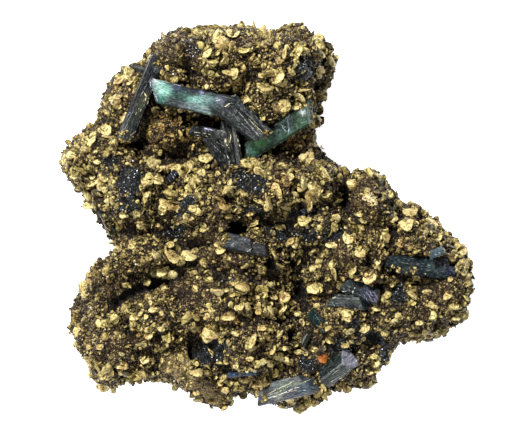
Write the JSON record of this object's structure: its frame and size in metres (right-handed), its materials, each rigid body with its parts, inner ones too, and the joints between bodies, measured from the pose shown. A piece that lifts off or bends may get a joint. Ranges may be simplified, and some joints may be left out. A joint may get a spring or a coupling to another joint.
{
  "type": "mineral specimen",
  "caption": "Vivianite blades in a lumpy siderite-crusted rock matrix, lying on its flat back as a collector's cabinet specimen.",
  "frame": {"origin": "middle of the bounding box's footprint, on the flat back that it rests on", "axes": "+X across the main face, the longest way; +Y along the main face towards the lobe with the large blades; +Z out of the main face, up from the flat back"},
  "size_m": [0.0951, 0.0897, 0.0386],
  "materials": {
    "siderite_matrix": "rough stone",
    "vivianite_dark": "vitreous",
    "vivianite_teal": "vitreous to pearly",
    "vivianite_green": "vitreous"
  },
  "bodies": {
    "root": {"matrix": "siderite_matrix", "vivianite_teal_blade": "vivianite_teal", "vivianite_green_blade": "vivianite_green", "vivianite_dark_cluster": "vivianite_dark", "vivianite_long_dark_blade": "vivianite_dark", "vivianite_rim_blade": "vivianite_dark", "vivianite_right_blade": "vivianite_dark", "vivianite_right_block": "vivianite_dark", "vivianite_centre_blade": "vivianite_dark", "vivianite_lower_right_pair": "vivianite_dark", "vivianite_lower_prism": "vivianite_dark", "vivianite_silver_blade": "vivianite_dark", "vivianite_blue_sliver": "vivianite_dark", "vivianite_low_stub": "vivianite_dark", "vivianite_left_stub": "vivianite_dark", "vivianite_upper_stub": "vivianite_dark", "vivianite_waist_stub": "vivianite_dark", "vivianite_olive_stub": "vivianite_dark"}
  },
  "joints": []
}
